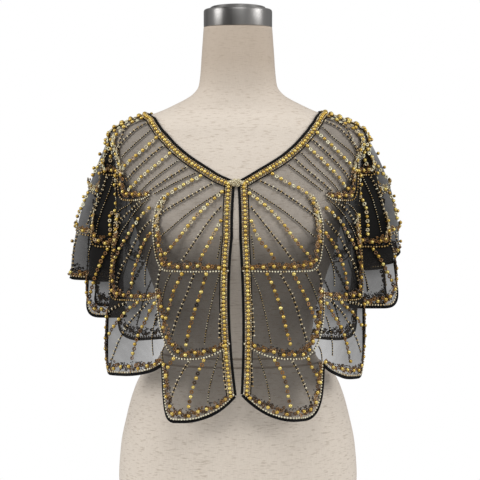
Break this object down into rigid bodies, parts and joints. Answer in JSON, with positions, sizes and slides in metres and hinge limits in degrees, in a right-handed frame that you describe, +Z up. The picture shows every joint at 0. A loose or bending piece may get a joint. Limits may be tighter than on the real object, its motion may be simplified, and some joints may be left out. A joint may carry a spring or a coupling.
{
  "type": "beaded bolero on dress form",
  "caption": "Sheer black beaded bolero with an open front and a scalloped hem, worn on a limbless linen dress form with a steel neck cap.",
  "frame": {"origin": "middle of the dress form's flat bottom", "axes": "+Z up the form, -Y towards the bolero's open front, +X towards the wearer's left"},
  "size_m": [0.48, 0.2596, 0.7823],
  "materials": {
    "linen": "matt",
    "steel": "brushed",
    "net": "sheer",
    "binding": "satin",
    "beads": "pearl gold"
  },
  "bodies": {
    "root": {"form_torso": "linen", "neck_cap": "steel", "front_right": "net", "front_left": "net", "back": "net", "front_right_binding": "binding", "front_left_binding": "binding", "back_neck_binding": "binding", "front_right_hem": "binding", "front_left_hem": "binding", "back_hem": "binding", "front_right_beading": "beads", "front_left_beading": "beads", "back_neck_beading": "beads", "closure": "beads"}
  },
  "joints": []
}
